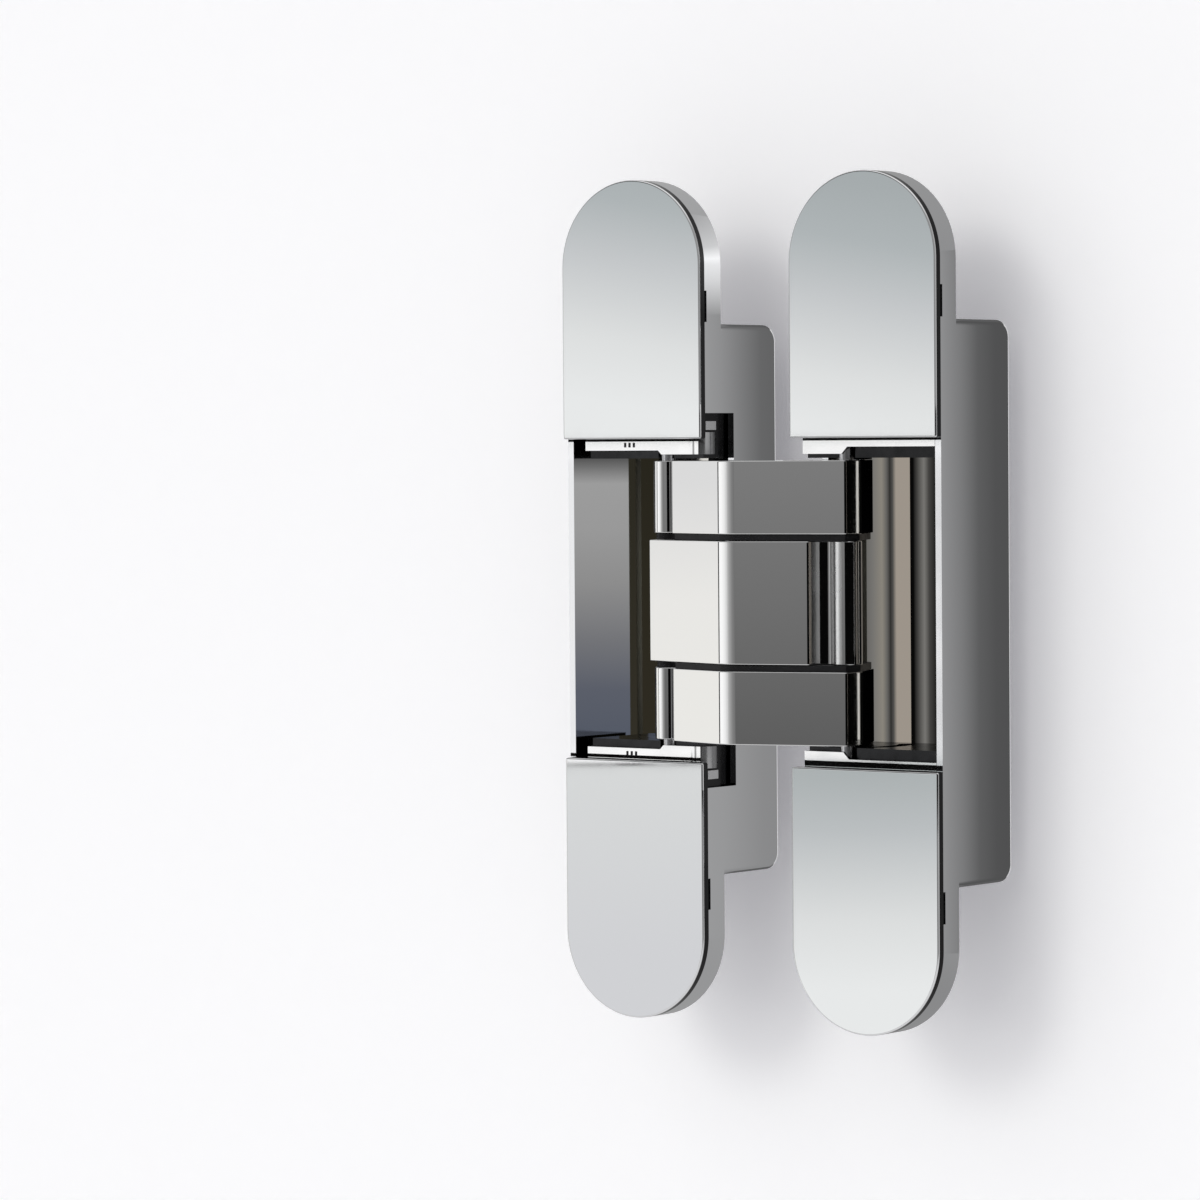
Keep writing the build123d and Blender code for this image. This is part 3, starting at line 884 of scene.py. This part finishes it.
@dataclass
class Leaf:
    """Housing of one leaf, with its carriers, clamp screws and covers."""

    side: Side
    pocket_near: float = 10.6
    pocket_far: float = 38.2
    pocket_half: float = 45.6
    pocket_floor: float = 20.2
    floor_rise: float = 0.9
    floor_sink: float = 2.2
    front: float = 1.5
    middle: float = 24.4
    pry_rim: Pair = (14.0, 14.97)
    pry_depth: Pair = (1.55, 2.15)
    pry_height: float = 50.8
    pry_half: float = 2.75
    corner_turn: float = 0.98
    strip_front: float = 1.7
    strip_turn: float = -0.9
    carrier_near: float = 11.1
    key_end: float = 29.4
    tick_places: Triple = (-26.95, -26.0, -25.05)
    tick_height: float = 26.95
    tick_half: Pair = (0.24, 0.42)
    tick_corner: float = 0.08
    tick_rim: float = 0.02
    tick_steps: int = 2
    tick_span: Pair = (-0.1, 0.03)
    skin: float = 0.1
    slack: float = 0.05

    def build(self, paints: Paints) -> None:
        """Builds the leaf's pieces in order from the back."""
        self.build_housing(paints)
        for end in End:
            self.build_carrier(end, paints)
            screw = Casting(f"{self.side.word}_{end.word}_clamp_screw")
            plain = np.zeros(len(screw.piece.data.polygons))
            screw.dress(paints, ("screw_steel",), plain)
            Cover(self.side, end).build(paints)

    def build_housing(self, paints: Paints) -> None:
        """Dresses the housing: chrome, a bright pocket with painted shade in its rounded corners,
        and pry notches painted black as shade.
        """
        housing = Casting(f"{self.side.word}_housing")
        centres, normals = face_frame(housing.piece)
        across, depth, height = np.abs(centres[:, 0]), centres[:, 1], np.abs(centres[:, 2])
        inside = (across > self.pocket_near - self.slack) & (across < self.pocket_far + self.slack)
        inside &= (depth > self.front + self.skin) & (depth < self.pocket_floor + self.floor_sink)
        inside &= height < self.pocket_half + self.slack
        floor = inside & (depth > self.pocket_floor - self.floor_rise)
        # Rounded corners deep in the pocket: painted dark olive as shade.
        corner = inside & (np.abs(normals).max(axis=1) < self.corner_turn)
        corner &= depth > self.pocket_floor / 2
        rim = np.abs(across - self.middle)
        # Pry notches: painted black as the shade inside the recess.
        notch = (rim > self.pry_rim[0]) & (rim < self.pry_rim[1])
        notch &= (depth > self.pry_depth[0]) & (depth < self.pry_depth[1])
        notch &= np.abs(height - self.pry_height) < self.pry_half
        names = ("pocket_chrome", "pocket_floor", "bearing_plastic", "pocket_corner")
        numbers = np.select((notch, corner, floor, inside), (3, 4, 2, 1), 0)
        housing.dress(paints, ("housing_chrome", *names), numbers)

    def build_carrier(self, end: End, paints: Paints) -> None:
        """Dresses a carrier: painted dark as shade, with a bright front strip, and on the left a
        post and a key, the key painted darker as shade.
        """
        carrier = Casting(f"{self.side.word}_{end.word}_carrier")
        centres, normals = face_frame(carrier.piece)
        across, depth, height = np.abs(centres[:, 0]), centres[:, 1], np.abs(centres[:, 2])
        strip = (normals[:, 1] < self.strip_turn) & (depth < self.strip_front + self.skin)
        post = (across < self.carrier_near - self.slack) & (self.side is Side.LEFT)
        # The key, the post's end nearest the arms, is painted darker as shade.
        key = post & (height < self.key_end)
        names = ("carrier_metal", "strip_chrome", "post_metal", "key_metal")
        numbers = np.select((strip, key, post), (1, 3, 2), 0)
        carrier.dress(paints, names, numbers)
        if self.side is Side.LEFT:
            self.build_ticks(end, paints)

    def build_ticks(self, end: End, paints: Paints) -> None:
        """Three plain setting marks on a left carrier's strip, as thin raised bars."""
        shell = Shell()
        span = tuple(rise - self.strip_front for rise in self.tick_span)
        for across in self.tick_places:
            place = (across, end.value * self.tick_height)
            loop = Loop.box(place, self.tick_half, self.tick_corner, self.tick_steps)
            shell.add_prism(loop, span, (0, self.tick_rim), Basis.FACING)
        ticks = shell.build(f"left_{end.word}_setting_marks")
        ticks.data.materials.append(paints["bearing_plastic"])
        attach(ticks, "left_carriers")
        LOG.info("%s ride on left_carriers", ticks.name)


@dataclass
class Linkage:
    """Crossed arms with their slide plates, pins, washers and spacers."""

    pin_rim: float = 0.25
    ring_rim: float = 0.08
    ring_bore: float = 1.74

    def build(self, paints: Paints) -> None:
        """Builds the three arms, then what they turn and slide on."""
        Arm("upper_arm", 11.7, 24.2).build(paints)
        Arm("middle_arm", -10.5, 10.5, middle=True).build(paints)
        Arm("lower_arm", -24.2, -11.7).build(paints)
        SlidePlate("upper_slide_plate", 10.55, 11.7).build(paints)
        SlidePlate("lower_slide_plate", -11.7, -10.55).build(paints)
        pivots = ("left_pivot", "right_upper_pivot", "right_lower_pivot")
        for name in (*pivots, "centre", "middle_slide", "upper_slide", "lower_slide"):
            Round(name + "_pin", "pin_steel", self.pin_rim).build(paints)
        for end in End:
            for node in (f"right_{end.word}_pivot_washer", f"left_{end.word}_pivot_spacer"):
                Round(node, "bearing_plastic", self.ring_rim, self.ring_bore).build(paints)


def make_board(name: str, points: Array) -> Piece:
    """Links a flat board that is not part of the hinge, from two rows of two corners."""
    mesh = bpy.data.meshes.new(name)
    mesh.from_pydata((np.asarray(points) * MM).tolist(), [], [(0, 1, 3, 2)])
    board = link(name, mesh)
    return board


@dataclass
class Card:
    """Light or dark board that only reflections show, with a smooth gradient along one direction.

    The gradient runs along the board's height, leant towards its width by an angle in degrees.
    Stops give a place in millimetres along it and the display grey, or colour, that chrome shows
    there.
    """

    name: str
    centre: Array
    across: Array
    width: Pair
    height: Pair
    stops: tuple[tuple, ...]
    lean: float = 90.0
    one_sided: bool = False
    chrome: float = 0.86
    after_matt: float = 0.15

    @classmethod
    def facing(cls, name: str, azimuth: float, distance: float, *rest: object) -> "Card":
        """Upright board at an angle left of the front, square to the line from the hinge."""
        sin, cos = math.sin(math.radians(azimuth)), math.cos(math.radians(azimuth))
        return cls(name, np.array((-sin, -cos, 0)) * distance, np.array((cos, -sin, 0)), *rest)

    def light(self, level: float | Triple) -> tuple[float, ...]:
        """Linear colour that chrome turns into a display grey or colour."""
        parts = level if isinstance(level, tuple) else (level,) * 3
        return tuple(grey(part) / self.chrome for part in parts)

    def glow(self, tree: Tree) -> Socket:
        """Glow of the board: its gradient, dimmed for light that a matt surface has scattered."""
        lean = math.radians(self.lean)
        along = math.cos(lean) * UP + math.sin(lean) * self.across
        inputs = {0: tree.add("TexCoord").outputs["Object"], 1: tuple(along / MM)}
        run = tree.add("VectorMath", inputs, operation="DOT_PRODUCT").outputs["Value"]
        offset = float(self.centre @ along)
        first, last = self.stops[0][0], self.stops[-1][0]
        share = tree.spread(run, (offset + first, offset + last), (0.0, 1.0))
        stops = [((spot - first) / (last - first), self.light(level)) for spot, level in self.stops]
        scattered = tree.add("LightPath").outputs["Diffuse Depth"]
        strength = tree.spread(scattered, (0.0, 1.0), (1.0, self.after_matt))
        colour = tree.ramp(share, stops)
        return tree.add("Emission", {"Color": colour, "Strength": strength}).outputs[0]

    def build(self) -> None:
        """Builds the board, its glow and its ray visibility."""
        grid = np.array([(u, v) for v in self.height for u in self.width])
        board = make_board(self.name, self.centre + grid[:, :1] * self.across + grid[:, 1:] * UP)
        paint, tree, shader = new_paint(self.name)
        tree.tree.nodes.remove(shader)
        surface = self.glow(tree)
        if self.one_sided:
            surface = tree.front_only(surface)
        tree.feed(tree.tree.nodes["Material Output"], {"Surface": surface})
        board.data.materials.append(paint)
        for rays in ("camera", "diffuse", "transmission", "volume_scatter", "shadow"):
            setattr(board, "visible_" + rays, False)
        LOG.info("card %s", self.name)


@dataclass
class Sun:
    """Soft lamp far away, which reflections don't show."""

    name: str
    energy: float
    angle: float
    travel: Triple
    colour: Triple = (1.0, 1.0, 0.95)

    def build(self) -> None:
        """Builds the lamp and turns it along its travel."""
        lamp = bpy.data.lights.new(self.name, "SUN")
        lamp.energy, lamp.color = self.energy, self.colour
        lamp.angle = math.radians(self.angle)
        sun = link(self.name, lamp)
        sun.rotation_euler = Vector(self.travel).to_track_quat("-Z", "Y").to_euler()
        sun.visible_glossy = False


@dataclass
class Studio:
    """Pale wall and floor, two suns, the room that chrome shows, and the cards round the hinge."""

    wall_depth: float = 28.6
    wall_top: float = 1700.0
    half_width: float = 2500.0
    floor_height: float = -300.0
    flag_depth: float = 24.2
    pocket_depth: float = 20.05
    edge_depth: float = -0.6
    step: float = 0.1
    mirror_azimuth: float = 35.95
    card_distance: float = 600.0
    strip_step: float = 2.0
    lift: Triple = (0.228, 0.225, 0.242)
    even_light: Triple = (0.38, 0.38, 0.384)
    below: Triple = (0.7, 0.7, 0.705)
    above: Triple = (0.85, 0.85, 0.85)
    scattered: Triple = (0.12, 0.12, 0.12)
    backdrop: Triple = (grey(247), grey(247), grey(249))

    def build(self) -> None:
        """Sets up the room, the lamps and the cards."""
        bpy.context.scene.view_settings.view_transform = "Standard"
        self.build_surfaces()
        Sun("narrow_sun", 0.45, 20.0, (0.154, 0.85, -0.40)).build()
        Sun("wide_sun", 0.85, 70.0, (0.24, 0.85, -0.40)).build()
        self.build_world()
        groups = (self.front_cards, self.pocket_cards, self.edge_cards, self.flags, self.end_cards)
        for group in groups:
            for card in group():
                card.build()

    def pale(self, name: str, colour: Triple, one_sided: bool) -> Material:
        """Matt pale paint that the camera sees lifted, clear from behind where it is one sided."""
        paint, tree, shader = new_paint(name)
        matt = {"Base Color": (*colour, 1), "Roughness": 1.0, "Specular IOR Level": 0.0}
        tree.feed(shader, matt)
        shown = tree.add("LightPath").outputs["Is Camera Ray"]
        lift = tree.add("Emission", {"Color": (*self.lift, 1), "Strength": shown}).outputs[0]
        surface = tree.add("AddShader", {0: shader.outputs[0], 1: lift}).outputs[0]
        if one_sided:
            surface = tree.front_only(surface)
        tree.feed(tree.tree.nodes["Material Output"], {"Surface": surface})
        return paint

    def build_surfaces(self) -> None:
        """Wall just behind the housings, which takes their shadow, and a level floor."""
        low, half = self.floor_height, self.half_width
        wall = [(x, self.wall_depth, z) for z in (low, self.wall_top) for x in (-half, half)]
        floor = [(x, y, low) for y in (-half, half) for x in (-half, half)]
        for name, points, colour, one_sided in (
            ("wall", wall, (0.9, 0.9, 0.915), True),
            ("floor", floor, (0.86, 0.86, 0.87), False),
        ):
            board = make_board(name, points)
            board.data.materials.append(self.pale(name + "_paint", colour, one_sided))
            board.visible_glossy = False

    def build_world(self) -> None:
        """Room light: pale to the camera, even on matt surfaces, light and dark in reflections."""
        world = bpy.data.worlds.new("room")
        bpy.context.scene.world = world
        world.use_nodes = True
        world.node_tree.nodes.clear()
        tree = Tree(world.node_tree)
        path = tree.add("LightPath").outputs
        toward = tree.add("SeparateXYZ", {0: tree.add("TexCoord").outputs["Generated"]}).outputs
        left, front = (tree.math("MULTIPLY", toward[axis], -1.0) for axis in "XY")
        turn = tree.math("ARCTAN2", left, front)
        share = tree.spread(turn, (-math.pi, math.pi), (0.0, 1.0))
        shades = (
            (-180, 0.92), (-150, 0.9), (-118, 0.6), (-92, 0.35), (-36, 0.3), (0, 0.3), (18, 0.25),
            (28, 0.02), (60, 0.02), (66, 0.04), (72, 0.8), (120, 0.9), (180, 0.92),
        )
        seen = tree.ramp(share, [((angle + 180) / 360, (shade,) * 3) for angle, shade in shades])
        down = tree.spread(toward["Z"], (-0.34, -0.12), (1.0, 0.0))
        over = tree.spread(toward["Z"], (0.6, 0.85), (0.0, 1.0))
        mirrored = tree.mix(over, tree.mix(down, seen, (*self.below, 1)), (*self.above, 1))
        depth = tree.math("MINIMUM", path["Diffuse Depth"], 1.0)
        room = tree.mix(depth, mirrored, (*self.scattered, 1))
        even = tree.mix(path["Is Glossy Ray"], (*self.even_light, 1), room)
        shown = tree.math("MAXIMUM", path["Is Camera Ray"], path["Is Transmission Ray"])
        colour = tree.mix(shown, even, (*self.backdrop, 1))
        glow = tree.add("Background", {"Color": colour, "Strength": 1.0}).outputs[0]
        tree.add("OutputWorld", {"Surface": glow})

    def front_cards(self) -> list[Card]:
        """Boards in front of the hinge, set where the covers, strips and roofs mirror them."""
        turn, reach = self.mirror_azimuth, self.card_distance
        near = reach - self.strip_step
        middle = (
            (-280, 250), (-150, 248), (-42, 234), (0, 224), (60, 197), (128, 163), (250, 128),
            (380, 107),
        )
        upper = (
            (30, (231, 233, 232)), (48, (221, 223, 222)), (71, (196, 199, 200)),
            (88, (174, 180, 181)), (105, (165, 171, 172)),
        )
        lower_left = ((-120, (208, 209, 211)), (-67, (214, 216, 215)))
        lower_right = (
            (-132, (231, 233, 232)), (-112, (219, 221, 220)), (-86, (186, 190, 191)),
            (-67, (168, 174, 174)),
        )
        left = ((-55, (233, 232, 228)), (-20, (232, 231, 228)), (15, 218))
        front = ((-62, 93), (-20, 110), (20, 122))
        bright = ((-75, 250), (75, 250))
        dark = ((-75, 6), (35, 6))
        rows = (
            ("upper_board", turn, reach, (-130, 130), (26.9, 170), upper, 10.0),
            ("middle_board", turn, reach, (-280, 380), (-66, 26.3), middle),
            ("upper_strip_board", turn, near, (-75, 75), (21.8, 26.3), bright),
            ("lower_strip_board", turn, near, (-75, 75), (-66, -61.7), bright),
            ("right_edge_board", turn, near, (51.2, 54.8), (-61.7, 21.8), bright),
            ("lower_left_board", turn, reach, (-130, 0), (-190, -67), lower_left, 0.0),
            ("lower_right_board", turn, reach, (0, 130), (-190, -67), lower_right, 0.0),
            ("left_board", 90.0, reach, (-280, 267), (-300, 300), left, 0.0),
            ("front_board", 0.0, reach, (-50, 220), (-150, 150), front, 0.0),
            ("dark_board", -60.0, 500.0, (-466, 466), (-75, 35), dark, 0.0),
        )
        return [Card.facing(*row) for row in rows]

    def pocket_cards(self) -> list[Card]:
        """Small boards in front of the pocket floors, which the pocket walls and floors mirror."""
        card, floor = partial(Card, one_sided=True), DEPTH * self.pocket_depth
        wall, beside = ACROSS * -38.15, ACROSS * 8.6
        left = (
            (-27, (86, 92, 105)), (-17, (94, 98, 109)), (-8, (119, 120, 124)), (2, 145), (12, 158),
            (20, 161), (23, 115), (26, 40),
        )
        olive = ((-27, (52, 49, 40)), (29, (44, 42, 34)))
        post = ((-12, 200), (3, 235))
        beige = (172, 165, 158)
        warm = (
            (-20.3, beige), (-17.4, beige), (-16.7, 88), (-16.1, 52), (-15.4, 110),
            (-14.4, (150, 147, 141)), (-12.4, 128), (-10.8, 112),
        )
        dark = ((-25.6, 30), (-24.2, 75), (-23.2, 130), (-21.8, 72), (-21.0, 12), (-20.3, 8))
        far = ((-38, 6), (-37.3, 6), (-37.2, 250), (-36.7, 250), (-36.6, 6), (-26.5, 6))
        tall, high = (-27, 29), (-27, 27)
        return [
            card("left_pocket_card", floor, ACROSS, (-36.2, -22), tall, left, 0.0),
            card("left_corner_card", floor, ACROSS, (-38.15, -36.2), tall, olive, 0.0),
            card("left_floor_card", wall, DEPTH, (14, 20.1), tall, olive, 0.0),
            card("upper_post_card", beside, -DEPTH, (-12, 3), (25, 34), post),
            card("lower_post_card", beside, -DEPTH, (-12, 3), (-34, -25), post),
            card("right_pocket_warm_card", floor, -ACROSS, (-20.3, -10.7), high, warm),
            card("right_pocket_dark_card", floor, -ACROSS, (-26.4, -20.3), high, dark),
            card("right_pocket_far_card", floor, -ACROSS, (-38.1, -26.4), high, far),
        ]

    def edge_cards(self) -> list[Card]:
        """Thin dark boards before the strips, so that a dark line parts them from the covers."""
        rows = (
            ("upper_edge", (-44, 40), (27.55, 28.0)),
            ("lower_left_edge", (-44, -10), (-28.0, -27.4)),
            ("lower_right_edge", (4, 40), (-28.0, -27.05)),
        )
        black, place = ((-40, 5), (40, 5)), DEPTH * self.edge_depth
        return [Card(name, place, ACROSS, *spans, black) for name, *spans in rows]

    def flags(self) -> list[Card]:
        """Boards on the wall beside the housings, which their outer sides mirror."""
        place = DEPTH * self.flag_depth
        before = place - DEPTH * self.step
        right = ((40, 80), (43.5, 82), (47, 94), (50.5, 123), (54.3, 142), (60, 146))
        left = tuple((-spot, level) for spot, level in reversed(right))
        upper = ((-9, 98), (-4.9, 103), (-0.6, 124), (3.8, 143), (7.4, 152), (9.2, 154))
        lower = ((-9, 137), (-4.9, 139), (3.8, 152), (7.4, 154), (9.2, 154))
        low_spark = ((50, 152), (56, 215), (62, 250))
        high_spark = ((62, 250), (68, 205), (84, 163))
        rows = (
            ("right_flag", place, (39.6, 62), (-62, 62), right),
            ("upper_between_flag", place, (-9.2, 9.2), (0, 62), upper),
            ("lower_between_flag", place, (-9.2, 9.2), (-62, 0), lower),
            ("left_flag", place, (-62, -39.6), (-62, 62), left),
            ("low_spark", before, (2.6, 9.2), (50, 62), low_spark, 0.0),
            ("high_spark", before, (-8, 9.2), (62, 84), high_spark, 0.0),
        )
        return [Card(name, centre, ACROSS, *rest) for name, centre, *rest in rows]

    def end_cards(self) -> list[Card]:
        """Boards on the wall above and below the bodies, which the flanges' round ends mirror."""
        place = DEPTH * (self.flag_depth + self.step)
        cards = []
        for side, end, level in (
            (Side.LEFT, End.UPPER, 161),
            (Side.RIGHT, End.UPPER, 146),
            (Side.LEFT, End.LOWER, 150),
            (Side.RIGHT, End.LOWER, 137),
        ):
            span, meet = ((9.0, 64.0), 143) if side is Side.RIGHT else ((-64.0, 9.0), 152)
            stops = ((48, 88), (58, 92), (61.5, meet), (78, level), (120, level + 4))
            reach = (48, 120)
            if end is End.LOWER:
                stops = tuple((-spot, shade) for spot, shade in reversed(stops))
                reach = (-120, -48)
            name = f"{side.word}_{end.word}_wall_card"
            cards.append(Card(name, place, ACROSS, span, reach, stops, 0.0))
        return cards


@dataclass
class Eye:
    """Camera at the photograph's viewing angle, for a square image."""

    place: Triple = (0.51921, -0.71594, 0.02939)
    turn: float = 37.5652
    pitch: float = 88.1287
    roll: float = -0.4272
    lens: float = 154.862
    sensor: float = 36.0

    def build(self) -> None:
        """Builds the camera and makes it the scene's own."""
        data = bpy.data.cameras.new("camera")
        data.lens, data.sensor_width = self.lens, self.sensor
        camera = link("camera", data)
        turned = Matrix.Translation(self.place)
        for angle, axis in ((self.turn, "Z"), (self.pitch, "X"), (self.roll, "Z")):
            turned = turned @ Matrix.Rotation(math.radians(angle), 4, axis)
        camera.matrix_world = turned
        bpy.context.scene.camera = camera


def main() -> None:
    """Builds the hinge, the studio and the camera."""
    logging.basicConfig(level=logging.INFO, format="%(name)s: %(message)s")
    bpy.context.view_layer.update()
    effects = Effects()
    paints = {finish.name: finish.material(effects) for finish in FINISHES}
    for side in Side:
        Leaf(side).build(paints)
    Linkage().build(paints)
    Studio().build()
    Eye().build()


if __name__ == "__main__":
    main()
